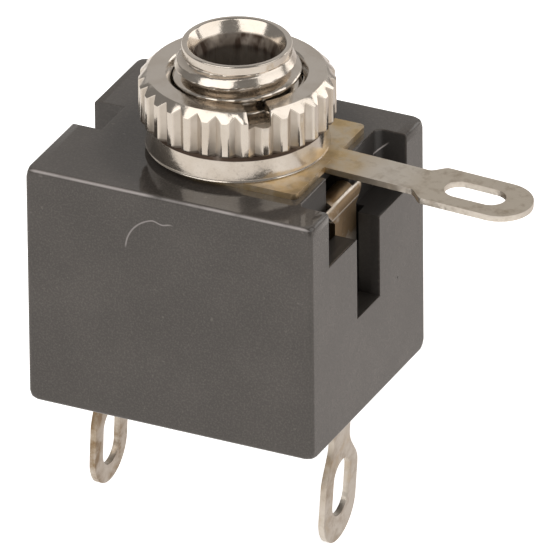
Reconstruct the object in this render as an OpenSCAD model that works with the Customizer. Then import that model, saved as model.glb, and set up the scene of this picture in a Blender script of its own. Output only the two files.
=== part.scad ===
// Panel-mounting stereo jack socket: a moulded housing, a threaded bushing with its knurled nut,
// a sleeve tag clamped under the bushing's flange, and two folded contact springs.
// The origin is on the bushing's axis, on the flange's top face, where the panel seats. +Z points out
// of the plug's mouth, and -Y is the plain front of the housing.

/* [Housing] */
// Width of the housing, across the two contact sides
housing_w = 14.55; // [13.6:0.05:18]
// Depth of the housing, from front to back
housing_d = 12.15; // [11:0.05:16]
// Height of the housing, from its top face to its bottom face
housing_h = 12.1; // [11:0.1:16]
// Distance of the bushing's axis from the middle of the housing's width
axis_offset = 0.67; // [0:0.01:0.8]
// Rounding of the housing's outer edges
edge_r = 0.2; // [0.1:0.05:0.5]
// Length of the wide notch in the tip contact's side
notch_w = 8.4; // [6:0.1:9.5]
// Height of the wide notch, down from the top face
notch_h = 2.85; // [2.5:0.05:4]
// Rounding of the notch's upright corners
notch_r = 0.4; // [0.1:0.05:0.6]
// Height of the contact slots in both sides, down from the top face
slot_h = 7; // [5:0.1:9]
// Depth of the ring contact's slot, in from its side face
ring_slot_d = 1.55; // [1.5:0.05:2.2]

/* [Bushing] */
// Diameter of the plug's bore
plug_d = 3.6; // [3.4:0.05:3.9]
// Widening of the bore's radius at its mouth
mouth_flare = 0.5; // [0.3:0.05:0.6]
// Depth of the flared mouth
mouth_h = 0.85; // [0.4:0.05:1.2]
// Width of the flat rim round the mouth
rim_w = 0.1; // [0.05:0.05:0.2]
// Outside diameter of the thread
thread_d = 5.9; // [5.8:0.05:6.6]
// Length of the threaded neck above the flange
thread_h = 3.8; // [3.5:0.05:8]
// Height of the neck's lead-in chamfer
lead_h = 0.55; // [0.3:0.05:0.8]
// Diameter of the flange
flange_d = 8.6; // [7.6:0.1:10]
// Thickness of the flange
flange_t = 1.3; // [0.8:0.05:2]
// Bevel on the flange's upper edge
flange_bevel = 0.15; // [0.05:0.05:0.3]
// Diameter of the spigot that is pressed into the housing
spigot_d = 5.8; // [5.4:0.05:6.4]
// Length of the spigot inside the housing
spigot_h = 2.4; // [1.5:0.05:3.5]

/* [Knurled nut] */
// Outside diameter of the nut, over the knurl
nut_d = 9.1; // [8.6:0.1:12]
// Height of the nut
nut_h = 2.2; // [1.8:0.05:4]
// Number of knurl grooves
knurl_count = 30; // [24:1:40]
// Depth of a knurl groove
knurl_depth = 0.28; // [0.2:0.01:0.6]
// Width of the land left between two grooves
knurl_land = 0.2; // [0.1:0.01:0.4]
// Turn of the knurl about the axis
knurl_turn = 6.25; // [0:0.25:15]
// Bevel on the nut's upper edge
nut_top_bevel = 0.42; // [0.2:0.01:0.7]
// Bevel on the nut's lower edge
nut_foot_bevel = 0.1; // [0.05:0.05:0.4]
// Bevel at both ends of the nut's bore
nut_bore_bevel = 0.25; // [0.1:0.05:0.4]
// Width of the two spanner slots
spanner_w = 1.1; // [0.6:0.05:1.6]
// Depth of the spanner slots
spanner_h = 0.7; // [0.4:0.05:1.4]
// Direction of the spanner slots about the axis
spanner_turn = -51; // [-90:1:90]

/* [Sleeve tag] */
// Thickness of the tag's sheet
tag_t = 0.3; // [0.2:0.05:0.8]
// Length of the tag's square edge
tag_plate_w = 7.5; // [7.2:0.1:9]
// Distance of the tag's square edge from the bushing's axis
tag_plate_x = 4.75; // [4.4:0.05:5]
// Rounding of the tag's square corners
tag_corner_r = 0.3; // [0.1:0.05:0.6]
// Width of the tag's arm
tag_arm_w = 2; // [1.2:0.05:2.2]
// Sideways place of the tag's arm
tag_arm_y = 0.25; // [-0.3:0.05:0.3]
// Downward bend of the tag's arm
tag_droop = 2; // [0:0.5:6]
// Reach of the tag's tip beyond the housing's side
tag_reach = 8.1; // [7:0.1:12]
// Width of the tag's eyelet
tag_lug_w = 3.2; // [2.4:0.1:3.6]
// Width of the slot in the tag's eyelet
tag_eye_w = 1.5; // [1:0.05:1.8]
// Distance from the tag's tip to its slot
tag_eye_edge = 1.3; // [0.6:0.05:1.4]
// Length of the curved shoulder between the tag's eyelet and its arm
tag_shoulder_l = 0.8; // [0.6:0.05:1.6]

/* [Contacts] */
// Thickness of the contact strip
strip_t = 0.3; // [0.2:0.05:0.4]
// Width of the contact strip
strip_w = 2.25; // [1.8:0.05:2.6]
// Distance of the contacts' outer legs from the housing's side faces
leg_inset = 1.15; // [0.9:0.05:1.25]
// Inside radius of the fold at the top of each contact
fold_r = 0.3; // [0.2:0.05:0.4]
// Distance of the folds below the housing's top face
fold_drop = 1.3; // [1.1:0.05:1.8]
// Width of the tip contact's head, in the notch
head_w = 3.6; // [3:0.1:4.5]
// Height of the tip contact's head
head_h = 1.05; // [0.8:0.05:1.3]
// Radius of the round noses that touch the plug
nose_r = 0.7; // [0.4:0.05:0.8]
// Distance that the noses stand into the plug's path
nose_press = 0.35; // [0.1:0.05:0.5]
// Length of the tail below each nose
tail_l = 1.2; // [0.6:0.1:2]
// Drop from the bushing's lower end to the ring contact
ring_drop = 1.4; // [1.3:0.05:2]
// Drop from the ring contact to the tip contact
tip_drop = 2.7; // [2.2:0.1:3.2]

/* [Solder lugs] */
// Length of every eyelet
lug_l = 5.6; // [4.8:0.1:6.5]
// Length of the slot in every eyelet
eye_l = 3; // [2.4:0.1:3.2]
// Width of a lower lug's eyelet
lug_w = 3.4; // [2.4:0.1:3.8]
// Width of the slot in a lower lug's eyelet
eye_w = 1.75; // [1:0.05:2]
// Drop of the slots' lower ends below the housing
eye_drop = 6.2; // [5.4:0.05:6.4]
// Length of the curved shoulder between a lower lug's eyelet and its neck
shoulder_l = 2.2; // [0.6:0.05:2.4]
// Width of the neck above a lower lug
neck_w = 1.7; // [1.2:0.1:1.8]
// Shift of the necks towards the front of the housing
neck_shift = 0.27; // [0:0.01:0.3]
// Reach of the ring contact's lug below the housing
ring_lug_h = 7.1; // [6:0.05:10]
// Reach of the tip contact's lug below the housing
tip_lug_h = 7.55; // [6:0.05:10]
// Lean of the ring contact's lug, away from the middle of the housing
ring_lug_lean = 2.5; // [-6:0.5:6]
// Lean of the tip contact's lug, away from the middle of the housing
tip_lug_lean = -4; // [-6:0.5:6]

/* [Clearances] */
// Gap on each side of a contact strip in its channel
strip_gap = 0.1; // [0.05:0.05:0.2]
// Gap behind a contact leg, and round the spigot
seat_gap = 0.05; // [0.02:0.01:0.08]
// Gap between the folds and the roof over them
fold_gap = 0.15; // [0.1:0.05:0.2]
// Gap between the thread and the nut's bore, and under the seated nut
nut_gap = 0.1; // [0.02:0.01:0.12]
// Gap round the plug in the housing's chamber
chamber_gap = 0.4; // [0.2:0.05:0.5]

/* [Hidden] */
$fn = 64;

black_plastic = [0.17, 0.16, 0.155];
bright_nickel = [0.78, 0.76, 0.72];
tinned_brass = [0.76, 0.72, 0.62];
// Overlap of a cutting tool past the face that it cuts
cut = 1;
// Step of the points on a strip's bends, in degrees
bend_step = 15;
// Steps of the curve on an eyelet's shoulder
shoulder_steps = 8;
// Overlap of a lug's neck with the leg above it
neck_lap = 0.1;
// Turn of a contact's tail, from the straight inward direction
tail_turn = -35;
// Angle at which the rolled edge of the tip contact's head ends
head_turn = 135;

plug_r = plug_d / 2;
thread_r = thread_d / 2;
flange_r = flange_d / 2;
spigot_r = spigot_d / 2;
nut_r = nut_d / 2;
mouth_r = plug_r + mouth_flare;

left_x = -housing_w / 2 - axis_offset;
right_x = housing_w / 2 - axis_offset;
top_z = -flange_t - tag_t;
bottom_z = top_z - housing_h;
spigot_z = top_z - spigot_h;

channel_w = strip_w + 2 * strip_gap;
head_way_w = head_w + 2 * strip_gap;
leg_end = leg_inset - seat_gap;
leg_back = leg_inset + strip_t + seat_gap;
notch_d = leg_back + seat_gap;
fold_end = leg_inset + 2 * strip_t + 2 * fold_r + seat_gap;
fold_z = top_z - fold_drop - strip_t - fold_r;
roof_z = top_z - fold_drop + fold_gap;
ring_z = spigot_z - ring_drop;
tip_z = ring_z - tip_drop;
head_z = top_z - fold_drop - head_h;

// Rectangle with round corners, centred on the origin
module rounded_rectangle(w, h, r) {
    square([w - 2 * r, h], center = true);
    square([w, h - 2 * r], center = true);
    for (x = [-1, 1], y = [-1, 1])
        translate([x * (w / 2 - r), y * (h / 2 - r)])
            circle(r);
}

// Block with all its straight edges rounded, centred on the origin
module rounded_block(w, d, h, r) {
    intersection() {
        linear_extrude(h, center = true)
            rounded_rectangle(w, d, r);
        rotate([90, 0, 0])
            linear_extrude(d, center = true)
                rounded_rectangle(w, h, r);
        rotate([90, 0, 90])
            linear_extrude(w, center = true)
                rounded_rectangle(d, h, r);
    }
}

// Upright box between two X values and two Z values, centred on Y
module span_box(x0, x1, w, z0, z1) {
    translate([x0, -w / 2, z0])
        cube([x1 - x0, w, z1 - z0]);
}

// Wide notch with round upright corners, open to the tip contact's side and to the top
module side_notch() {
    translate([right_x, 0, top_z - notch_h])
        linear_extrude(notch_h + cut)
            rounded_rectangle(2 * notch_d, notch_w, notch_r);
}

module housing() {
    color(black_plastic)
        difference() {
            translate([-axis_offset, 0, top_z - housing_h / 2])
                rounded_block(housing_w, housing_d, housing_h, edge_r);
            // Seat of the bushing's spigot, and the plug's chamber below it
            translate([0, 0, spigot_z - seat_gap])
                cylinder(r = spigot_r + seat_gap, h = spigot_h + seat_gap + cut);
            translate([0, 0, bottom_z - cut])
                cylinder(r = plug_r + chamber_gap, h = spigot_z - bottom_z + cut);
            // Contact channel, open below, with the slots that open it to the sides
            span_box(left_x + leg_end, right_x - leg_end, channel_w, bottom_z - cut, roof_z);
            span_box(left_x - cut, left_x + ring_slot_d, channel_w, top_z - slot_h, top_z + cut);
            span_box(right_x - fold_end, right_x + cut, channel_w, top_z - slot_h, top_z + cut);
            // Notch for the tip contact's head, and the way up to it
            side_notch();
            span_box(right_x - leg_back, right_x - leg_end, head_way_w,
                bottom_z - cut, top_z - notch_h + cut);
        }
}

module bushing() {
    color(bright_nickel)
        rotate_extrude()
            polygon([
                [plug_r, spigot_z],
                [spigot_r - flange_bevel, spigot_z],
                [spigot_r, spigot_z + flange_bevel],
                [spigot_r, -flange_t],
                [flange_r, -flange_t],
                [flange_r, -flange_bevel],
                [flange_r - flange_bevel, 0],
                [thread_r, 0],
                [thread_r, thread_h - lead_h],
                [mouth_r + rim_w, thread_h],
                [mouth_r, thread_h],
                [plug_r, thread_h - mouth_h]
            ]);
}

// Round blank with straight V grooves cut in its rim
module knurled_disc() {
    pitch = 360 / knurl_count;
    land_turn = asin(knurl_land / nut_r);
    mouth_turn = (pitch - land_turn) / 2;
    reach = nut_r / cos(mouth_turn);
    difference() {
        circle(nut_r, $fn = 120);
        for (i = [0 : knurl_count - 1])
            rotate(knurl_turn + i * pitch)
                polygon([
                    [nut_r - knurl_depth, 0],
                    [reach, -reach * tan(mouth_turn)],
                    [reach + knurl_depth, 0],
                    [reach, reach * tan(mouth_turn)]
                ]);
    }
}

// Nut's turned form: a ring with bevelled edges
module nut_blank() {
    bore_r = thread_r + nut_gap;
    rotate_extrude()
        polygon([
            [bore_r, nut_bore_bevel],
            [bore_r + nut_bore_bevel, 0],
            [nut_r - nut_foot_bevel, 0],
            [nut_r, nut_foot_bevel],
            [nut_r, nut_h - nut_top_bevel],
            [nut_r - nut_top_bevel, nut_h],
            [bore_r + nut_bore_bevel, nut_h],
            [bore_r, nut_h - nut_bore_bevel]
        ]);
}

module knurled_nut() {
    color(bright_nickel)
        translate([0, 0, nut_gap])
            difference() {
                intersection() {
                    nut_blank();
                    linear_extrude(nut_h)
                        knurled_disc();
                }
                rotate(spanner_turn)
                    translate([0, 0, nut_h - spanner_h / 2 + cut / 2])
                        cube([nut_d + cut, spanner_w, spanner_h + cut], center = true);
            }
}

// Edge of an eyelet's shoulder, from the neck at 0 to the full width at 1
function shoulder_y(neck_y, full_y, t) = neck_y + (full_y - neck_y) * (1 - cos(180 * t)) / 2;

// Points on one edge of an eyelet, from the end of its neck to its round tip
function eyelet_edge(neck_y, full_y, neck_l, shoulder) = concat(
    [[-lug_l - neck_l, neck_y]],
    [for (i = [0 : shoulder_steps]) let (t = i / shoulder_steps)
        [-lug_l + shoulder * t, shoulder_y(neck_y, full_y, t)]],
    [[-abs(full_y), full_y]]
);

// Solder eyelet with a round tip at the origin, running back along -X to a neck
module eyelet(w, slot_w, slot_edge, neck, neck_l, neck_y, shoulder) {
    r = w / 2;
    upper = eyelet_edge(neck_y + neck / 2, r, neck_l, shoulder);
    lower = eyelet_edge(neck_y - neck / 2, -r, neck_l, shoulder);
    difference() {
        union() {
            translate([-r, 0])
                circle(r);
            polygon(concat(upper, [for (i = [len(lower) - 1 : -1 : 0]) lower[i]]));
        }
        translate([-slot_edge - eye_l / 2, 0])
            rounded_slot(eye_l, slot_w);
    }
}

// Slot with round ends, centred on the origin and lying along X
module rounded_slot(l, w) {
    square([l - w, w], center = true);
    for (x = [-1, 1])
        translate([x * (l - w) / 2, 0])
            circle(w / 2);
}

module sleeve_tag() {
    plate_back = tag_plate_x - 2 * tag_corner_r;
    arm_l = right_x + tag_reach - tag_plate_x - lug_l;
    color(tinned_brass)
        translate([0, 0, top_z]) {
            linear_extrude(tag_t)
                difference() {
                    union() {
                        circle(tag_plate_w / 2);
                        translate([plate_back / 2, 0])
                            square([plate_back, tag_plate_w], center = true);
                        translate([plate_back, 0])
                            rounded_rectangle(4 * tag_corner_r, tag_plate_w, tag_corner_r);
                    }
                    circle(spigot_r + seat_gap);
                }
            translate([tag_plate_x - tag_corner_r, tag_arm_y, 0])
                rotate([0, tag_droop, 0])
                    linear_extrude(tag_t)
                        translate([arm_l + lug_l + tag_corner_r, 0])
                            eyelet(tag_lug_w, tag_eye_w, tag_eye_edge,
                                tag_arm_w, arm_l + tag_corner_r, 0, tag_shoulder_l);
        }
}

// Points on an arc, from one angle down to another
function arc(centre, r, from, to) =
    let (steps = ceil((from - to) / bend_step))
    [for (i = [0 : steps]) let (a = from + (to - from) * i / steps) centre + r * [cos(a), sin(a)]];

// Left-hand normal of a path at one of its points
function path_normal(path, i) =
    let (
        ahead = path[min(i + 1, len(path) - 1)],
        behind = path[max(i - 1, 0)],
        along = ahead - behind
    )
    [-along[1], along[0]] / norm(along);

// Outline of a strip of even thickness that follows a path
function strip_outline(path, t) = concat(
    [for (i = [0 : len(path) - 1]) path[i] + path_normal(path, i) * t / 2],
    [for (i = [len(path) - 1 : -1 : 0]) path[i] - path_normal(path, i) * t / 2]
);

// Centre line of a contact, as distance in from the side face and height:
// up its outer leg, over the fold, down to the nose on the plug and out along the tail
function contact_path(axis_x, nose_z) =
    let (
        r = fold_r + strip_t / 2,
        fold = [leg_inset + strip_t / 2 + r, fold_z],
        nose = [axis_x - plug_r + nose_press - strip_t / 2 - nose_r, nose_z],
        way = nose - fold,
        turn = atan2(way[1], way[0]) + acos((r - nose_r) / norm(way)),
        tail = nose + nose_r * [cos(tail_turn), sin(tail_turn)],
        tail_way = [sin(tail_turn), -cos(tail_turn)]
    )
    concat(
        [[leg_inset + strip_t / 2, bottom_z]],
        arc(fold, r, 180, turn),
        arc(nose, nose_r, turn, tail_turn),
        [tail + tail_l * tail_way]
    );

// Contact in the side's own frame: X runs in from the side face
module contact(axis_x, nose_z, lug_h, lug_lean) {
    rotate([90, 0, 0])
        linear_extrude(strip_w, center = true)
            polygon(strip_outline(contact_path(axis_x, nose_z), strip_t));
    translate([leg_inset + strip_t / 2, 0, bottom_z])
        rotate([0, lug_lean, 0])
            translate([0, 0, -lug_h])
                rotate([0, 90, 0])
                    linear_extrude(strip_t, center = true)
                        eyelet(lug_w, eye_w, lug_h - eye_drop,
                            neck_w, lug_h - lug_l + neck_lap, -neck_shift, shoulder_l);
}

// Wide head of the tip contact, with its outer edge rolled into the fold
module contact_head() {
    r = fold_r + strip_t / 2;
    fold = [leg_inset + strip_t / 2 + r, fold_z];
    top = strip_outline(concat([[leg_inset + strip_t / 2, head_z]], arc(fold, r, 180, head_turn)), strip_t);
    intersection() {
        rotate([90, 0, 0])
            linear_extrude(head_w, center = true)
                polygon(top);
        rotate([90, 0, 90])
            linear_extrude(fold_end)
                polygon([
                    [-strip_w / 2, head_z],
                    [strip_w / 2, head_z],
                    [head_w / 2, head_z + (head_w - strip_w) / 2],
                    [head_w / 2, top_z],
                    [-head_w / 2, top_z],
                    [-head_w / 2, head_z + (head_w - strip_w) / 2]
                ]);
    }
}

module ring_contact() {
    color(tinned_brass)
        translate([left_x, 0, 0])
            contact(-left_x, ring_z, ring_lug_h, ring_lug_lean);
}

module tip_contact() {
    color(tinned_brass)
        translate([right_x, 0, 0])
            mirror([1, 0, 0]) {
                contact(right_x, tip_z, tip_lug_h, tip_lug_lean);
                contact_head();
            }
}

housing();
bushing();
knurled_nut();
sleeve_tag();
ring_contact();
tip_contact();
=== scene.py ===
"""Dresses a panel-mounting stereo jack socket: housing, bushing, nut, tag and contacts."""

import math

import bmesh
import bpy
from bpy.props import FloatProperty, FloatVectorProperty, IntProperty, PointerProperty
from mathutils import Matrix, Vector


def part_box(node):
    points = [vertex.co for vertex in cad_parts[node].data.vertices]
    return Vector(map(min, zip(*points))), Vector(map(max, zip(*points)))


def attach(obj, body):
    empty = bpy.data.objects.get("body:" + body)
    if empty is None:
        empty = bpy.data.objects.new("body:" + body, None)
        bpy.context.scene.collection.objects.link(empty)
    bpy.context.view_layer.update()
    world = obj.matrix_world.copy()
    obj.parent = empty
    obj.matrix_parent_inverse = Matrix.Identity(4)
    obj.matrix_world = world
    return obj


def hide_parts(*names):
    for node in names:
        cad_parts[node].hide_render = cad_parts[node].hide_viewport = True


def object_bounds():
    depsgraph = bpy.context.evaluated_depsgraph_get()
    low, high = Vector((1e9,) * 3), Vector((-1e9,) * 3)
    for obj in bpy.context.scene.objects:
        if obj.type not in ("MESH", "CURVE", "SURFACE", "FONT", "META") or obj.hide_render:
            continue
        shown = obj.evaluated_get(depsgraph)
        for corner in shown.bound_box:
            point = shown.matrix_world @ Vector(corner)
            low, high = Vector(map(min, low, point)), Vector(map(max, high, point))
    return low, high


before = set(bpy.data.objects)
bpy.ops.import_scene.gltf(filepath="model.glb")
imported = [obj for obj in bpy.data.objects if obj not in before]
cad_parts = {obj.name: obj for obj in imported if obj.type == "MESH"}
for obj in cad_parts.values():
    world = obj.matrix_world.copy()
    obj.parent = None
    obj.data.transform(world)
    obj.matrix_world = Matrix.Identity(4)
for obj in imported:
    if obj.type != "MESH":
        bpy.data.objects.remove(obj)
CAD_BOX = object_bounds()

bl_info = {
    "name": "Jack socket",
    "version": (1, 0, 0),
    "blender": (4, 5, 0),
    "location": "View3D > Sidebar > Jack socket",
    "description": "Dresses a stereo jack socket with a thread, eased edges and finishes",
    "category": "Object",
}

MM = 0.001
SOCKET_BODY = "socket"
NUT_BODY = "nut"
# Points closer than this, in metres, are made one point
WELD = 1e-6
# Faces that meet at less than these angles are made one flat face, or shaded as one
FLAT_ANGLE = math.radians(0.3)
SHARP_ANGLE = math.radians(28)
# Places of the cuts near a block's corners, as shares of the rounding's reach
CORNER_ROWS = (0.2, 0.4, 0.6, 0.8, 1.0)
# How fast the corners' rounding fades along the block's edges
CORNER_FALL = 1.5
# Faces across an eased edge, and steps in the curve of a turned corner
EDGE_SEGMENTS = 2
CURVE_STEPS = 4
# Most of a side that the curve of a turned corner may take
CURVE_SHARE = 0.45
# Pull of large faces on the shading of the eased edges beside them
FLAT_WEIGHT = 100
# Places of the factor, the two colours and the result on a Mix node
MIX_FACTOR, MIX_FIRST, MIX_SECOND, MIX_RESULT = 0, 6, 7, 2
# How many times paler the worn, dusty plastic is, which also paints the top lighter away from the
# flange, and what dull nickel and the floor's tone keep
PALE_PLASTIC = 2.2
DULL_NICKEL = (0.86, 0.83, 0.79)
FLOOR_TONE = 0.97
# Pit in the housing's right wall, by y and z in millimetres
PIT = (3.08, -8.53)
# Curved scratch on the front wall: its middle, by x and z, and its radius in millimetres
SCRATCH = (-1.02, -4.66)
SCRATCH_RADIUS = 1.82
# Painted glint in the notch, drawn as a short pale line: its middle, by x and z in millimetres,
# and its slope
NOTCH_GLINT = (5.3, -2.59)
NOTCH_SLOPE = 0.89
# Panels of light: name, azimuth and elevation in degrees, distance, size and radiance
PANELS = (
    ("left_panel", -17, 42, 0.4, (0.44, 0.42), 1.75),
    ("right_panel", 98, 40, 0.4, (0.40, 0.42), 1.4),
    ("back_panel", 205, 32, 0.5, (0.9, 0.45), 0.31),
    ("rim_panel", 148, 18, 0.4, (0.2, 0.24), 1.8),
)
PANEL_COLOUR = (1.0, 0.97, 0.94)
# Light of the room from below, near the camera and far from it, and from above
NEAR_GROUND = (1.15, 1.1, 1.05)
FAR_GROUND = (0.84, 0.78, 0.74)
UPPER_ROOM = (0.27, 0.26, 0.25)
# Half the floor's width, in metres
FLOOR_REACH = 4.0


class SocketSizes(bpy.types.PropertyGroup):
    """Fine sizes that the solids leave to the visual model"""

    thread_pitch: FloatProperty(
        name="Thread pitch",
        description="Rise of the bushing's thread in one turn",
        default=0.75 * MM,
        precision=6,
        unit="LENGTH",
    )
    thread_depth: FloatProperty(
        name="Thread depth",
        description="Depth of the bushing's thread below its crest",
        default=0.54 * MM,
        precision=6,
        unit="LENGTH",
    )
    thread_start: FloatProperty(
        name="Thread start",
        description="Turn of the bushing's thread about its axis",
        default=math.radians(230),
        subtype="ANGLE",
    )
    crest_share: FloatProperty(
        name="Crest share",
        description="Flat share of half a thread's width, at its crest",
        default=0.12,
        subtype="FACTOR",
    )
    root_share: FloatProperty(
        name="Root share",
        description="Flat share of half a thread's width, at its root",
        default=0.1,
        subtype="FACTOR",
    )
    pitch_steps: IntProperty(
        name="Steps in a pitch",
        description="Number of rows of faces in one turn of the thread",
        default=20,
        min=8,
    )
    thread_radius: FloatProperty(
        name="Thread radius",
        description="Radius of the thread's crest",
        default=2.97 * MM,
        precision=6,
        unit="LENGTH",
    )
    neck_height: FloatProperty(
        name="Neck height",
        description="Height of the threaded neck above the flange",
        default=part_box("bushing")[1].z,
        precision=6,
        unit="LENGTH",
    )
    lead_height: FloatProperty(
        name="Lead height",
        description="Height of the taper at the thread's start",
        default=0.75 * MM,
        precision=6,
        unit="LENGTH",
    )
    rim_height: FloatProperty(
        name="Rim height",
        description="Height of the plain rim above the thread's start",
        default=0.47 * MM,
        precision=6,
        unit="LENGTH",
    )
    rim_radius: FloatProperty(
        name="Rim radius",
        description="Outer radius of the rim round the mouth",
        default=2.55 * MM,
        precision=6,
        unit="LENGTH",
    )
    mouth_radius: FloatProperty(
        name="Mouth radius",
        description="Radius of the flared mouth at the rim",
        default=2.3 * MM,
        precision=6,
        unit="LENGTH",
    )
    mouth_height: FloatProperty(
        name="Mouth height",
        description="Depth of the flared mouth",
        default=0.56 * MM,
        precision=6,
        unit="LENGTH",
    )
    throat_radius: FloatProperty(
        name="Throat radius",
        description="Radius of the flared mouth at its inner end",
        default=1.99 * MM,
        precision=6,
        unit="LENGTH",
    )
    bore_radius: FloatProperty(
        name="Bore radius",
        description="Radius of the plug's bore",
        default=1.8 * MM,
        precision=6,
        unit="LENGTH",
    )
    spigot_radius: FloatProperty(
        name="Spigot radius",
        description="Radius of the spigot in the housing",
        default=2.9 * MM,
        precision=6,
        unit="LENGTH",
    )
    flange_height: FloatProperty(
        name="Flange height",
        description="Thickness of the bushing's flange",
        default=1.3 * MM,
        precision=6,
        unit="LENGTH",
    )
    flange_draft: FloatProperty(
        name="Flange draft",
        description="How far the flange's wall leans in towards its top",
        default=0.15 * MM,
        precision=6,
        unit="LENGTH",
    )
    flange_lip: FloatProperty(
        name="Flange lip",
        description="Width of the lip at the flange's foot, half its height",
        default=0.05 * MM,
        precision=6,
        unit="LENGTH",
    )
    turned_edge: FloatProperty(
        name="Turned edge",
        description="Rounding of the bushing's turned edges",
        default=0.05 * MM,
        precision=6,
        unit="LENGTH",
    )
    nut_edge: FloatProperty(
        name="Nut edge",
        description="Rounding of the nut's edges",
        default=0.03 * MM,
        precision=6,
        unit="LENGTH",
    )
    sheet_edge: FloatProperty(
        name="Sheet edge",
        description="Rounding of the stamped sheet's edges",
        default=0.05 * MM,
        precision=6,
        unit="LENGTH",
    )
    moulded_edge: FloatProperty(
        name="Moulded edge",
        description="Rounding of the housing's inner edges",
        default=0.05 * MM,
        precision=6,
        unit="LENGTH",
    )
    corner_reach: FloatProperty(
        name="Corner reach",
        description="How far the rounding of the housing's corners reaches along its edges",
        default=0.5 * MM,
        precision=6,
        unit="LENGTH",
    )
    corner_depth: FloatProperty(
        name="Corner depth",
        description="How far the housing's corners are rounded off",
        default=0.21 * MM,
        precision=6,
        unit="LENGTH",
    )
    turn_steps: IntProperty(
        name="Steps in a turn",
        description="Number of faces round the bushing",
        default=240,
        min=24,
    )


class SocketFinishes(bpy.types.PropertyGroup):
    """Colours of the plastic, the metals and the floor"""

    plastic: FloatVectorProperty(
        name="Plastic",
        description="Colour of the moulded housing",
        default=(0.044, 0.039, 0.035),
        subtype="COLOR",
    )
    nickel: FloatVectorProperty(
        name="Nickel",
        description="Colour of the plated bushing and nut",
        default=(0.62, 0.57, 0.51),
        subtype="COLOR",
    )
    # Grime, whose dark colour also paints the shadow under the nut, along the flange's upper edge
    # and round the nut's foot
    grime_and_shade: FloatVectorProperty(
        name="Grime",
        description="Colour of the dirt in the thread and the bore",
        default=(0.085, 0.06, 0.046),
        subtype="COLOR",
    )
    tin: FloatVectorProperty(
        name="Tin",
        description="Colour of the tinned sheet",
        default=(0.62, 0.575, 0.515),
        subtype="COLOR",
    )
    # Solder, whose bright colour also paints highlights on the tag's eye and the tip contact's
    # head
    solder_and_highlight: FloatVectorProperty(
        name="Solder",
        description="Colour of the bright solder on the lugs' edges",
        default=(0.72, 0.67, 0.60),
        subtype="COLOR",
    )
    # Scuffed edges; the same pale colour is a painted highlight along the housing's front top edge
    scuff_and_edge_highlight: FloatVectorProperty(
        name="Scuff",
        description="Colour of the scuffed edges of the housing",
        default=(0.36, 0.33, 0.32),
        subtype="COLOR",
    )
    tag: FloatVectorProperty(
        name="Tag",
        description="Colour of the plated sleeve tag",
        default=(0.63, 0.565, 0.475),
        subtype="COLOR",
    )
    gold: FloatVectorProperty(
        name="Gold",
        description="Colour of the bare brass beside the flange",
        default=(0.62, 0.46, 0.24),
        subtype="COLOR",
    )
    tarnish: FloatVectorProperty(
        name="Tarnish",
        description="Colour of the brown patches on the tinned sheet",
        default=(0.27, 0.19, 0.11),
        subtype="COLOR",
    )
    floor: FloatVectorProperty(
        name="Floor",
        description="Colour of the plain floor",
        default=(0.9, 0.9, 0.9),
        subtype="COLOR",
    )


class SocketStudio(bpy.types.PropertyGroup):
    """Camera and light"""

    azimuth: FloatProperty(
        name="Azimuth",
        description="Turn of the camera from the front towards the sleeve tag",
        default=math.radians(25.716),
        subtype="ANGLE",
    )
    elevation: FloatProperty(
        name="Elevation",
        description="Height of the camera above the horizon",
        default=math.radians(28.608),
        subtype="ANGLE",
    )
    roll: FloatProperty(
        name="Roll",
        description="Roll of the camera about its own axis",
        default=math.radians(-0.5465),
        subtype="ANGLE",
    )
    distance: FloatProperty(
        name="Distance",
        description="Distance of the camera from the point that it looks at",
        default=808.11 * MM,
        unit="LENGTH",
    )
    target: FloatVectorProperty(
        name="Target",
        description="Point in the middle of the picture",
        default=(0.6748 * MM, 2.9158 * MM, -9.9532 * MM),
        precision=7,
        subtype="TRANSLATION",
    )
    lens: FloatProperty(
        name="Lens",
        description="Focal length of the long lens, in millimetres",
        default=1121.5,
    )


class Shade:
    """One socket of a material's nodes, so that arithmetic on it adds Math nodes."""

    def __init__(self, tree, socket=None):
        self.tree = tree
        self.socket = socket

    def node(self, kind, settings=None, inputs=None, output=0):
        """Adds a node with its settings and its sockets' values or links, and wraps one output."""
        made = self.tree.nodes.new(kind)
        for key, value in (settings or {}).items():
            setattr(made, key, value)
        for key, value in (inputs or {}).items():
            if isinstance(value, Shade):
                self.tree.links.new(value.socket, made.inputs[key])
            else:
                made.inputs[key].default_value = value
        return Shade(self.tree, made.outputs[output])

    def math(self, operation, *values):
        """Result of one Math node on this value and the others."""
        inputs = dict(enumerate((self, *values)))
        return self.node("ShaderNodeMath", {"operation": operation}, inputs)

    def flipped(self, operation, value):
        """Result of one Math node with this value second."""
        return self.node("ShaderNodeMath", {"operation": operation}, {0: value, 1: self})

    def __add__(self, other):
        return self.math("ADD", other)

    def __radd__(self, other):
        return self.flipped("ADD", other)

    def __sub__(self, other):
        return self.math("SUBTRACT", other)

    def __rsub__(self, other):
        return self.flipped("SUBTRACT", other)

    def __mul__(self, other):
        return self.math("MULTIPLY", other)

    def __rmul__(self, other):
        return self.flipped("MULTIPLY", other)

    def between(self, low, high):
        """Smooth mask of this value, from 0 at low to 1 at high."""
        return self.node(
            "ShaderNodeMapRange",
            {"interpolation_type": "SMOOTHSTEP"},
            {"Value": self, "From Min": low, "From Max": high},
        )

    def mix(self, first, second):
        """Colour between first, where this mask is 0, and second, where it is 1."""
        return self.node(
            "ShaderNodeMix",
            {"data_type": "RGBA"},
            {MIX_FACTOR: self, MIX_FIRST: solid(first), MIX_SECOND: solid(second)},
            output=MIX_RESULT,
        )


def solid(colour):
    """Colour with alpha, or the link to one."""
    return colour if isinstance(colour, Shade) else (*colour[:3], 1.0)


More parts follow.
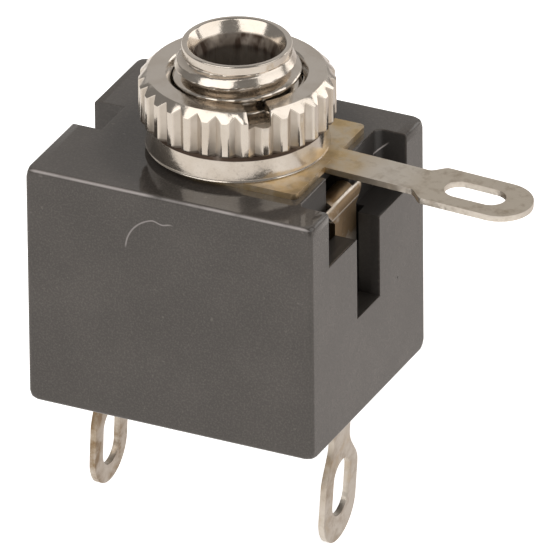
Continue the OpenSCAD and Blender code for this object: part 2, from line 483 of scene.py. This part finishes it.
class Finish:
    """A material under way: its shader, and its coordinates in millimetres."""

    def __init__(self, name, constants):
        self.material = bpy.data.materials.new(name)
        self.material.use_nodes = True
        self.tree = self.material.node_tree
        self.shader = self.tree.nodes["Principled BSDF"]
        for key, value in constants.items():
            self.shader.inputs[key].default_value = value
        base = Shade(self.tree)
        place = base.node("ShaderNodeTexCoord", output="Object")
        self.point = base.node(
            "ShaderNodeVectorMath", {"operation": "SCALE"}, {0: place, "Scale": 1 / MM}
        )
        self.x, self.y, self.z = (
            base.node("ShaderNodeSeparateXYZ", None, {0: self.point}, output=axis)
            for axis in range(3)
        )
        self.bumps = None

    def noise(self, scale, detail=2.0, roughness=0.5, point=None):
        """Noise from 0 to 1, with scale in waves to the millimetre."""
        values = {"Scale": scale, "Detail": detail, "Roughness": roughness}
        values["Vector"] = point or self.point
        return self.point.node("ShaderNodeTexNoise", None, values)

    def stretched(self, x, y, z):
        """Coordinates scaled by a factor on each axis."""
        return self.point.node(
            "ShaderNodeVectorMath", {"operation": "MULTIPLY"}, {0: self.point, 1: (x, y, z)}
        )

    def radius(self):
        """Distance from the bushing's axis, in millimetres."""
        return distance(self.x, self.y)

    def facing(self, axis):
        """How far the surface faces along an axis, from 0 to 1."""
        normal = self.point.node("ShaderNodeTexCoord", output="Normal")
        part = self.point.node("ShaderNodeSeparateXYZ", None, {0: normal}, output=axis)
        return part.math("ABSOLUTE")

    def colour(self, value):
        """Links a colour to the shader."""
        self.tree.links.new(value.socket, self.shader.inputs["Base Color"])

    def roughness(self, value):
        """Links a roughness to the shader."""
        self.tree.links.new(value.socket, self.shader.inputs["Roughness"])

    def bump(self, height, depth):
        """Adds a bump whose height of 1 is a depth in millimetres."""
        inputs = {"Height": height, "Strength": 1.0, "Distance": depth * MM}
        if self.bumps:
            inputs["Normal"] = self.bumps
        self.bumps = height.node("ShaderNodeBump", None, inputs)
        self.tree.links.new(self.bumps.socket, self.shader.inputs["Normal"])


def distance(across, along):
    """Length of the way that two numbers make at right angles."""
    return (across * across + along * along).math("SQRT")


# Masks of the finishes, whose places and widths are millimetres in the part's frame


def moulded_plastic(finishes):
    """Black moulded plastic, finely grained, glossy on top, with scratches and a scuffed front top
    edge whose pale colour is also a painted highlight; painted shade darkens the right-hand
    recesses and a ring round the flange, and a painted glint marks the notch.
    """
    finish = Finish("moulded_plastic", {"IOR": 1.48})
    grain = finish.noise(11.0, detail=3.0, roughness=0.6)
    cloud = finish.noise(0.3, detail=3.0)
    speck = finish.noise(3.0, detail=1.0)
    low, high = (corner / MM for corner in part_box("housing"))
    left, right = finish.x - low.x, high.x - finish.x
    front, back = finish.y - low.y, high.y - finish.y
    below = high.z - finish.z
    side = left.math("MINIMUM", right).math("MINIMUM", front).math("MINIMUM", back)
    rim = front.math("MAXIMUM", below)
    # Scuff along the front top edge, painted pale, which also serves as a painted highlight on
    # that edge
    scuff_and_edge_highlight = (1.0 - rim.between(0.06, 0.16)) * cloud.between(0.25, 0.5)
    # Painted shade: the deep walls of the notch and the slot on the right side are darkened
    # towards black, and made rougher
    inner = side.between(0.07, 0.12) * below.between(0.07, 0.12)
    inner = inner * finish.x.between(0.0, 1.0)
    glossy = 1.0 - below.between(0.02, 0.06)
    # Dust on the glossy top, left off a ring round the flange as painted shade there, so the top
    # is paler further out
    top_dust_and_flange_shade = glossy * finish.radius().between(5.4, 7.0) * 0.5
    pit = 1.0 - distance(finish.y - PIT[0], finish.z - PIT[1]).between(0.03, 0.09)
    pit = pit * (1.0 - right.between(0.05, 0.1))
    marks = housing_marks(finish, front, back)
    pale = tuple(PALE_PLASTIC * c for c in finishes.plastic)
    worn = cloud.between(0.35, 0.75) * 0.2 + grain.between(0.4, 0.75) * 0.42
    pale_dust_and_shade = (worn + top_dust_and_flange_shade + speck.between(0.74, 0.8) * 0.5).math("MINIMUM", 1.0)
    body = (pale_dust_and_shade - pit).math("MAXIMUM", 0.0).mix(finishes.plastic, pale)
    shaded = (inner * 0.55).mix(body, (0.0, 0.0, 0.0))
    finish.colour((scuff_and_edge_highlight * 0.85).math("MAXIMUM", marks).mix(shaded, finishes.scuff_and_edge_highlight))
    polish = (0.07 + 0.05 * cloud + 0.06 * grain) * (1.0 - 0.6 * glossy)
    finish.roughness(polish + 0.15 * scuff_and_edge_highlight + 0.5 * pit + 0.35 * inner)
    finish.bump(grain * (1.0 - 0.75 * glossy), 0.004)
    finish.bump(1.0 - pit, 0.06)
    return finish.material


def housing_marks(finish, front, back):
    """Mask of the curved scratch on the front wall and of a painted glint in the notch, drawn as a
    short pale line.
    """
    dx, dz = finish.x - SCRATCH[0], finish.z - SCRATCH[1]
    dip = dx.between(-0.5, 0.05) * (1.0 - dx.between(0.05, 0.6)) * 0.17
    ring = (distance(dx, dz) + dip - SCRATCH_RADIUS).math("ABSOLUTE")
    arc = (1.0 - ring.between(0.02, 0.05)) * (1.0 - front.between(0.05, 0.1))
    arc = arc * dz.between(0.0, 0.3) * (1.0 - dx.between(0.3, 0.7))
    # Painted glint: a short pale line on the notch's wall
    along = finish.x - NOTCH_GLINT[0]
    line = (finish.z - NOTCH_GLINT[1] - NOTCH_SLOPE * along).math("ABSOLUTE")
    notch_glint = (1.0 - line.between(0.01, 0.07)) * (1.0 - along.math("ABSOLUTE").between(0.1, 0.45))
    notch_glint = notch_glint * (1.0 - back.between(2.2, 2.3)) * back.between(1.5, 1.6)
    return (arc * 0.45).math("MAXIMUM", notch_glint)


def plated_nickel(finishes, name, dirt_and_shade, rough):
    """Bright nickel with soft waves and fine pits, darkened towards the grime colour by dirt and
    painted shade where one mask is 1, and roughened where the other is 1.
    """
    finish = Finish(name, {"Metallic": 1.0})
    cloud = finish.noise(0.8, detail=3.0)
    speck = finish.noise(7.0, detail=3.0)
    # Dirt and painted shade, blotched by the cloud
    soiled_and_shaded = dirt_and_shade(finish) * (0.5 + 0.5 * cloud.between(0.25, 0.6))
    coarse = rough(finish)
    dull = tuple(c * d for c, d in zip(finishes.nickel, DULL_NICKEL))
    metal = (cloud.between(0.35, 0.7) * 0.6 + coarse * 0.4).mix(finishes.nickel, dull)
    finish.colour(soiled_and_shaded.mix(metal, finishes.grime_and_shade))
    polish = 0.11 + 0.08 * cloud + 0.12 * speck.between(0.5, 0.8)
    finish.roughness(polish + 0.28 * coarse + 0.2 * soiled_and_shaded)
    finish.bump(speck, 0.003)
    return finish.material


def bushing_dirt_and_shade(finish):
    """Dirt in the bore and in the roots of the thread, and dirt with a painted shadow along the
    flange's upper edge under the nut.
    """
    radius = finish.radius()
    drawn = finish.stretched(1.0, 1.0, 0.12)
    streak = finish.noise(2.5, detail=3.0, point=drawn).between(0.4, 0.6)
    upper = finish.z.between(2.1, 2.7)
    bore = (1.0 - radius.between(1.96, 2.02)) * (0.28 + 0.35 * streak + 0.45 * upper)
    root = (1.0 - radius.between(2.48, 2.75)) * radius.between(2.36, 2.41) * 0.25
    root = root * (1.0 - finish.z.between(3.22, 3.32))
    # Dirt and painted shadow: a dark band on the flange's upper edge, under the nut's overhang
    ledge_dirt_and_shadow = finish.z.between(-0.28, -0.23) * radius.between(3.85, 4.0) * 1.5
    return bore.math("MAXIMUM", root).math("MAXIMUM", ledge_dirt_and_shadow)


def bushing_wear(finish):
    """Rougher plating inside the bore."""
    return 1.0 - finish.radius().between(1.9, 2.05)


def nut_dirt_and_shade(finish):
    """Dirt in the nut's bore, and dirt with a painted shadow round its foot, where it sits on the
    flange.
    """
    bore = 1.0 - finish.radius().between(3.05, 3.1)
    # Dirt and painted shadow: the nut's lowest band darkened where it meets the flange
    foot = 1.0 - finish.z.between(0.16, 0.26)
    return (bore * 0.2).math("MAXIMUM", foot * 0.8)


def nut_wear(finish):
    """Rougher plating in the knurl's grooves."""
    radius = finish.radius()
    bevel = (radius + finish.z).between(6.33, 6.41)
    return (1.0 - radius.between(4.44, 4.53)) * (1.0 - bevel) * radius.between(4.0, 4.2)


def tinned_sheet(finishes, name, tin, brown, shine, gold):
    """Stained sheet, browner, bright with solder and painted highlights, and bare brass, where
    three masks are 1.
    """
    finish = Finish(name, {"Metallic": 1.0})
    cloud = finish.noise(0.7, detail=5.0, roughness=0.6)
    fine = finish.noise(5.0, detail=4.0)
    wave = finish.noise(1.3, detail=2.0)
    patchy = 0.3 + 0.7 * cloud.between(0.35, 0.6)
    # Solder and painted highlights, in patches
    bright = shine(finish) * patchy
    bare = gold(finish) * patchy
    spots = finish.noise(1.9, detail=4.0, roughness=0.6).between(0.5, 0.72) * 0.4
    stain = (cloud.between(0.5, 0.7) * (0.25 + 0.6 * fine)).math("MAXIMUM", spots)
    browned = brown(finish) * (0.25 + 0.75 * cloud.between(0.35, 0.65)) * 0.85
    stain = stain.math("MAXIMUM", browned)
    stain = stain * (1.0 - 0.4 * bright.math("MAXIMUM", bare))
    sheet = bright.mix(bare.mix(tin, finishes.gold), finishes.solder_and_highlight)
    finish.colour(stain.mix(sheet, finishes.tarnish))
    finish.roughness(0.28 + 0.16 * cloud + 0.14 * fine)
    finish.bump(fine, 0.006)
    finish.bump(bright * finish.noise(3.0), 0.025)
    finish.bump(wave, 0.03)
    return finish.material


def tag_edge(finish):
    """Brown cut edges of the sleeve tag, whose faces lie flat, up to its eye."""
    return (1.0 - finish.facing(2).between(0.5, 0.85)) * (1.0 - finish.x.between(8.0, 9.0))


def tag_shine(finish):
    """Bright solder and a painted highlight on the edges round the sleeve tag's eye, and the clean
    arm beside it.
    """
    # Solder and a painted highlight on the eye's rims
    edge = (1.0 - finish.facing(2).between(0.5, 0.85)) * finish.x.between(8.0, 9.0)
    arm = finish.x.between(6.0, 7.0) * (1.0 - finish.x.between(8.4, 9.4))
    return (edge * 1.6).math("MAXIMUM", arm * 0.8)


def tag_gold(finish):
    """Bare brass round the bushing's flange."""
    return 1.0 - finish.radius().between(5.0, 7.6)


def contact_stain(finish):
    """Brown stains on the tip contact's head and in blotches on the lugs, with painted shade
    darkening all of the ring contact's lug.
    """
    blotch = finish.noise(0.9, detail=6.0, roughness=0.7).between(0.42, 0.62)
    # Painted shade: the ring contact's lug, on the left, darker all over
    ring = 1.0 - finish.x.between(-1.0, 1.0)
    root = finish.z.between(-15.6, -14.8) * finish.facing(1).between(0.5, 0.8)
    leg = (1.0 - finish.y.between(-1.1, -0.4)) * finish.z.between(-19.6, -17.8)
    lug = blotch * (0.5 + 0.35 * ring) + 0.55 * ring + 1.2 * root + 0.6 * leg
    # Brown on the head, kept off its painted highlight lines
    head = finish.z.between(-6.0, -4.8) * (1.0 - head_highlight_lines(finish))
    return lug.math("MAXIMUM", 2.2 * head)


def contact_shine(finish):
    """Bright solder on the lugs' cut edges, and the painted highlight lines on the tip contact's
    head.
    """
    edge = (1.0 - finish.facing(0).between(0.4, 0.8)) * (1.0 - finish.z.between(-15.4, -14.9))
    return (0.6 * edge).math("MAXIMUM", 1.3 * head_highlight_lines(finish))


def contact_gold(finish):
    """Bare brass in blotches on the contacts."""
    return finish.noise(0.9).between(0.55, 0.7) * 0.5


def head_highlight_lines(finish):
    """Painted highlight lines along the rolled edge of the tip contact's head and along its bend.
    """
    # Painted highlight: a bright line at the rolled top edge and a fainter one at the crease
    edge = finish.z.between(-3.22, -3.12) * (1.0 - finish.z.between(-3.08, -3.03))
    crease = 1.0 - (finish.z + 3.66).math("ABSOLUTE").between(0.02, 0.08)
    return edge.math("MAXIMUM", 0.7 * crease) * finish.x.between(5.0, 5.1)


def new_piece(name, shape, material, body, slot, *nodes):
    """Makes a piece from a bmesh, which stands for CAD nodes and rides on a body."""
    mesh = bpy.data.meshes.new(name)
    bmesh.ops.recalc_face_normals(shape, faces=shape.faces)
    for face in shape.faces:
        face.smooth = True
    for edge in shape.edges:
        edge.smooth = len(edge.link_faces) != 2 or edge.calc_face_angle() < SHARP_ANGLE
    shape.to_mesh(mesh)
    shape.free()
    mesh.materials.append(material)
    piece = bpy.data.objects.new(name, mesh)
    bpy.context.scene.collection.objects.link(piece)
    flats = piece.modifiers.new("flat_faces", "WEIGHTED_NORMAL")
    flats.keep_sharp = True
    flats.weight = FLAT_WEIGHT
    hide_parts(*nodes)
    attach(piece, body)


def eased_solid(node, ease):
    """Copy of a CAD solid, as a bmesh, with its sharp edges rounded."""
    shape = bmesh.new()
    shape.from_mesh(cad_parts[node].data)
    bmesh.ops.remove_doubles(shape, verts=shape.verts, dist=WELD)
    bmesh.ops.dissolve_limit(
        shape, angle_limit=FLAT_ANGLE, verts=shape.verts, edges=shape.edges
    )
    sharp = [
        edge
        for edge in shape.edges
        if len(edge.link_faces) == 2 and edge.calc_face_angle() > SHARP_ANGLE
    ]
    bmesh.ops.bevel(
        shape,
        geom=sharp,
        offset=ease,
        offset_type="OFFSET",
        segments=EDGE_SEGMENTS,
        profile=0.5,
        affect="EDGES",
        clamp_overlap=True,
    )
    bmesh.ops.remove_doubles(shape, verts=shape.verts, dist=WELD)
    bmesh.ops.dissolve_degenerate(shape, dist=WELD, edges=shape.edges)
    return shape


def worn_corners(shape, low, high, reach, depth):
    """Rounds off a block's eight corners: cuts rows of faces near them and moves the points in."""
    for axis in range(3):
        way = Vector((0.0, 0.0, 0.0))
        way[axis] = 1.0
        for share in CORNER_ROWS:
            for corner, step in ((low, share * reach), (high, -share * reach)):
                bmesh.ops.bisect_plane(
                    shape,
                    geom=shape.verts[:] + shape.edges[:] + shape.faces[:],
                    dist=WELD,
                    plane_co=corner + way * step,
                    plane_no=way,
                )
    middle = (low + high) / 2
    for vert in shape.verts:
        inset = [max(reach - min(c - a, b - c), 0.0) for c, a, b in zip(vert.co, low, high)]
        near = inset[0] * inset[1] * inset[2] / reach**3
        if near > 0.0:
            inward = [math.copysign(i, m - c) for i, c, m in zip(inset, vert.co, middle)]
            vert.co += Vector(inward).normalized() * depth * near**CORNER_FALL


def soft_min(a, b, blend):
    """Smaller of two numbers, with the corner between them rounded over a blend."""
    share = max(blend - abs(a - b), 0.0) / blend
    return min(a, b) - share * share * blend / 4


def smooth_step(t):
    """Smooth rise from 0 at 0 to 1 at 1."""
    t = min(max(t, 0.0), 1.0)
    return t * t * (3 - 2 * t)


def rounded_line(corners, radius):
    """Open line of radius and height points, with each inner corner turned into a small curve."""
    points = [Vector(corners[0])]
    for before, here, after in zip(corners, corners[1:], corners[2:]):
        here = Vector(here)
        back, ahead = Vector(before) - here, Vector(after) - here
        reach = min(radius, CURVE_SHARE * back.length, CURVE_SHARE * ahead.length)
        start, end = here + back.normalized() * reach, here + ahead.normalized() * reach
        for step in range(CURVE_STEPS + 1):
            t = step / CURVE_STEPS
            points.append((1 - t) ** 2 * start + 2 * t * (1 - t) * here + t * t * end)
    points.append(Vector(corners[-1]))
    return points


def thread_radius(sizes, height, turn):
    """Radius of the threaded neck at a height above the flange and an angle round the axis."""
    rise = height / sizes.thread_pitch - (turn + sizes.thread_start) / math.tau
    from_crest = abs(2 * (rise % 1.0) - 1)
    flank = 1 - sizes.crest_share - sizes.root_share
    groove = smooth_step((from_crest - sizes.crest_share) / flank)
    neck = sizes.thread_radius - sizes.thread_depth * groove
    slope = (sizes.thread_radius - sizes.rim_radius) / sizes.lead_height
    start = sizes.neck_height - sizes.rim_height
    lead = sizes.rim_radius + max(start - height, 0.0) * slope
    cut = soft_min(neck, lead, sizes.turned_edge)
    plain = smooth_step(0.5 + (height - start) / (2 * sizes.turned_edge))
    return cut + (sizes.rim_radius - cut) * plain


def turned_bushing(sizes):
    """Bushing as a bmesh: lines of points from the bore's foot, round the outside and back."""
    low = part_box("bushing")[0].z
    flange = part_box("bushing")[1].x
    top = sizes.neck_height
    # The thread's rows end below the rounding of the rim
    rim_foot = top - 4 * sizes.turned_edge
    foot = -sizes.flange_height
    wall = flange - sizes.flange_lip
    edge = wall - sizes.flange_draft
    outside = rounded_line(
        [
            (sizes.bore_radius, low + sizes.turned_edge),
            (sizes.bore_radius, low),
            (sizes.spigot_radius, low),
            (sizes.spigot_radius, foot),
            (flange, foot),
            (wall, foot + 2 * sizes.flange_lip),
            (edge, -sizes.turned_edge),
            (edge - sizes.turned_edge, 0.0),
            (sizes.thread_radius - sizes.thread_depth, 0.0),
        ],
        sizes.turned_edge,
    )
    mouth = rounded_line(
        [
            (sizes.rim_radius, rim_foot),
            (sizes.rim_radius, top),
            (sizes.mouth_radius, top),
            (sizes.throat_radius, top - sizes.mouth_height),
            (sizes.bore_radius, top - 2 * sizes.mouth_height),
            (sizes.bore_radius, top - 3 * sizes.mouth_height),
        ],
        2 * sizes.turned_edge,
    )
    rows = math.ceil(top / sizes.thread_pitch * sizes.pitch_steps)
    heights = [rim_foot * row / rows for row in range(1, rows)]
    shape = bmesh.new()
    columns = []
    for step in range(sizes.turn_steps):
        turn = math.tau * step / sizes.turn_steps
        neck = [Vector((thread_radius(sizes, height, turn), height)) for height in heights]
        line = outside + neck + mouth
        columns.append(
            [shape.verts.new((p.x * math.cos(turn), p.x * math.sin(turn), p.y)) for p in line]
        )
    for left, right in zip(columns, columns[1:] + columns[:1]):
        for i in range(len(left)):
            shape.faces.new((left[i - 1], right[i - 1], right[i], left[i]))
    return shape


class JACK_OT_housing(bpy.types.Operator):
    """Finish the moulded housing"""

    bl_idname = "jack_socket.housing"
    bl_label = "Housing"

    def execute(self, context):
        sizes = context.scene.jack_sizes
        shape = eased_solid("housing", sizes.moulded_edge)
        worn_corners(shape, *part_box("housing"), sizes.corner_reach, sizes.corner_depth)
        material = moulded_plastic(context.scene.jack_finishes)
        new_piece("moulded_housing", shape, material, SOCKET_BODY, "black_plastic", "housing")
        return {"FINISHED"}


class JACK_OT_bushing(bpy.types.Operator):
    """Turn the bushing and cut its thread"""

    bl_idname = "jack_socket.bushing"
    bl_label = "Bushing"

    def execute(self, context):
        finishes = context.scene.jack_finishes
        shape = turned_bushing(context.scene.jack_sizes)
        material = plated_nickel(finishes, "bushing_nickel", bushing_dirt_and_shade, bushing_wear)
        new_piece("threaded_bushing", shape, material, SOCKET_BODY, "bright_nickel", "bushing")
        return {"FINISHED"}


class JACK_OT_nut(bpy.types.Operator):
    """Finish the knurled nut"""

    bl_idname = "jack_socket.nut"
    bl_label = "Knurled nut"

    def execute(self, context):
        finishes = context.scene.jack_finishes
        shape = eased_solid("knurled_nut", context.scene.jack_sizes.nut_edge)
        material = plated_nickel(finishes, "nut_nickel", nut_dirt_and_shade, nut_wear)
        new_piece("knurled_ring_nut", shape, material, NUT_BODY, "bright_nickel", "knurled_nut")
        return {"FINISHED"}


class JACK_OT_sheet(bpy.types.Operator):
    """Finish the sleeve tag and the two contact springs"""

    bl_idname = "jack_socket.sheet"
    bl_label = "Tag and contacts"

    def execute(self, context):
        sizes = context.scene.jack_sizes
        finishes = context.scene.jack_finishes
        tag = tinned_sheet(finishes, "plated_tag", finishes.tag, tag_edge, tag_shine, tag_gold)
        contact = tinned_sheet(
            finishes, "plated_contact", finishes.tin, contact_stain, contact_shine, contact_gold
        )
        pieces = (
            ("sleeve_tag", "sleeve_solder_tag", tag),
            ("ring_contact", "ring_spring", contact),
            ("tip_contact", "tip_spring", contact),
        )
        for node, name, material in pieces:
            shape = eased_solid(node, sizes.sheet_edge)
            new_piece(name, shape, material, SOCKET_BODY, "tinned_brass", node)
        return {"FINISHED"}


class JACK_OT_stage(bpy.types.Operator):
    """Lay the floor, hang the lights and set the camera"""

    bl_idname = "jack_socket.stage"
    bl_label = "Stage"

    def execute(self, context):
        lay_floor(context.scene.jack_finishes)
        for panel in PANELS:
            hang_light(*panel)
        fill_room(context.scene)
        set_camera(context.scene)
        return {"FINISHED"}


def lay_floor(finishes):
    """Wide pale floor under the lowest point of the part."""
    shape = bmesh.new()
    bmesh.ops.create_grid(shape, x_segments=8, y_segments=8, size=FLOOR_REACH)
    mesh = bpy.data.meshes.new("floor")
    shape.to_mesh(mesh)
    shape.free()
    finish = Finish("pale_floor", {"Roughness": 0.9, "Emission Strength": 0.8})
    tone = finish.noise(0.002).between(0.0, 1.0)
    finish.colour(tone.mix(finishes.floor, tuple(FLOOR_TONE * c for c in finishes.floor)))
    finish.shader.inputs["Emission Color"].default_value = solid(finishes.floor)
    mesh.materials.append(finish.material)
    floor = bpy.data.objects.new("floor", mesh)
    floor.location.z = CAD_BOX[0].z
    floor.visible_glossy = False
    bpy.context.scene.collection.objects.link(floor)


def hang_light(name, azimuth, elevation, away, size, radiance):
    """Soft panel of light that faces the part from an azimuth and an elevation, in degrees."""
    light = bpy.data.lights.new(name, "AREA")
    light.shape = "RECTANGLE"
    light.size, light.size_y = size
    light.energy = radiance * math.pi * size[0] * size[1]
    light.color = PANEL_COLOUR
    back = direction(math.radians(azimuth), math.radians(elevation))
    lamp = bpy.data.objects.new(name, light)
    lamp.location = (CAD_BOX[0] + CAD_BOX[1]) / 2 + back * away
    lamp.rotation_euler = back.to_track_quat("Z", "Y").to_euler()
    bpy.context.scene.collection.objects.link(lamp)


def fill_room(scene):
    """Dim room round the part, with a light ground."""
    world = bpy.data.worlds.new("studio")
    world.use_nodes = True
    tree = world.node_tree
    base = Shade(tree)
    way = base.node("ShaderNodeTexCoord", output="Generated")
    side, back, height = (
        base.node("ShaderNodeSeparateXYZ", None, {0: way}, output=axis) for axis in range(3)
    )
    ground = (0.5 * side + 0.87 * back).between(0.3, 0.9).mix(NEAR_GROUND, FAR_GROUND)
    room = height.between(-0.2, 0.1).mix(ground, UPPER_ROOM)
    tree.links.new(room.socket, tree.nodes["Background"].inputs["Color"])
    scene.world = world
    scene.view_settings.view_transform = "Standard"


def direction(azimuth, elevation):
    """Way from the part towards an azimuth, from the front towards the tag, and an elevation."""
    flat = math.cos(elevation)
    return Vector((math.sin(azimuth) * flat, -math.cos(azimuth) * flat, math.sin(elevation)))


def set_camera(scene):
    """Camera on a long lens, turned to the photograph's angle."""
    studio = scene.jack_studio
    back = direction(studio.azimuth, studio.elevation)
    level = Vector((0, 0, 1)).cross(back).normalized()
    turn = Matrix.Rotation(studio.roll, 3, back)
    right = turn @ level
    up = back.cross(right)
    data = bpy.data.cameras.new("camera")
    data.lens = studio.lens
    camera = bpy.data.objects.new("camera", data)
    place = Matrix((right, up, back)).transposed().to_4x4()
    place.translation = Vector(studio.target) + back * studio.distance
    camera.matrix_world = place
    scene.collection.objects.link(camera)
    scene.camera = camera


class JACK_PT_panel(bpy.types.Panel):
    """Lists the pieces of the jack socket"""

    bl_idname = "JACK_PT_panel"
    bl_label = "Jack socket"
    bl_space_type = "VIEW_3D"
    bl_region_type = "UI"
    bl_category = "Jack socket"

    def draw(self, context):
        for operator in OPERATORS:
            self.layout.operator(operator.bl_idname)
        for group in ("jack_sizes", "jack_finishes", "jack_studio"):
            values = getattr(context.scene, group)
            box = self.layout.box()
            for name in values.__annotations__:
                box.prop(values, name)


OPERATORS = (
    JACK_OT_housing,
    JACK_OT_bushing,
    JACK_OT_nut,
    JACK_OT_sheet,
    JACK_OT_stage,
)
GROUPS = {
    "jack_sizes": SocketSizes,
    "jack_finishes": SocketFinishes,
    "jack_studio": SocketStudio,
}


def register():
    """Registers the classes and hangs the groups on the scene."""
    for cls in (*GROUPS.values(), *OPERATORS, JACK_PT_panel):
        bpy.utils.register_class(cls)
    for name, group in GROUPS.items():
        setattr(bpy.types.Scene, name, PointerProperty(type=group))


def unregister():
    """Takes back what register does."""
    for name in GROUPS:
        delattr(bpy.types.Scene, name)
    for cls in (JACK_PT_panel, *reversed(OPERATORS), *GROUPS.values()):
        bpy.utils.unregister_class(cls)


def main():
    """Makes the pieces and the stage."""
    register()
    bpy.ops.jack_socket.housing()
    bpy.ops.jack_socket.bushing()
    bpy.ops.jack_socket.nut()
    bpy.ops.jack_socket.sheet()
    bpy.ops.jack_socket.stage()


if __name__ == "__main__":
    main()
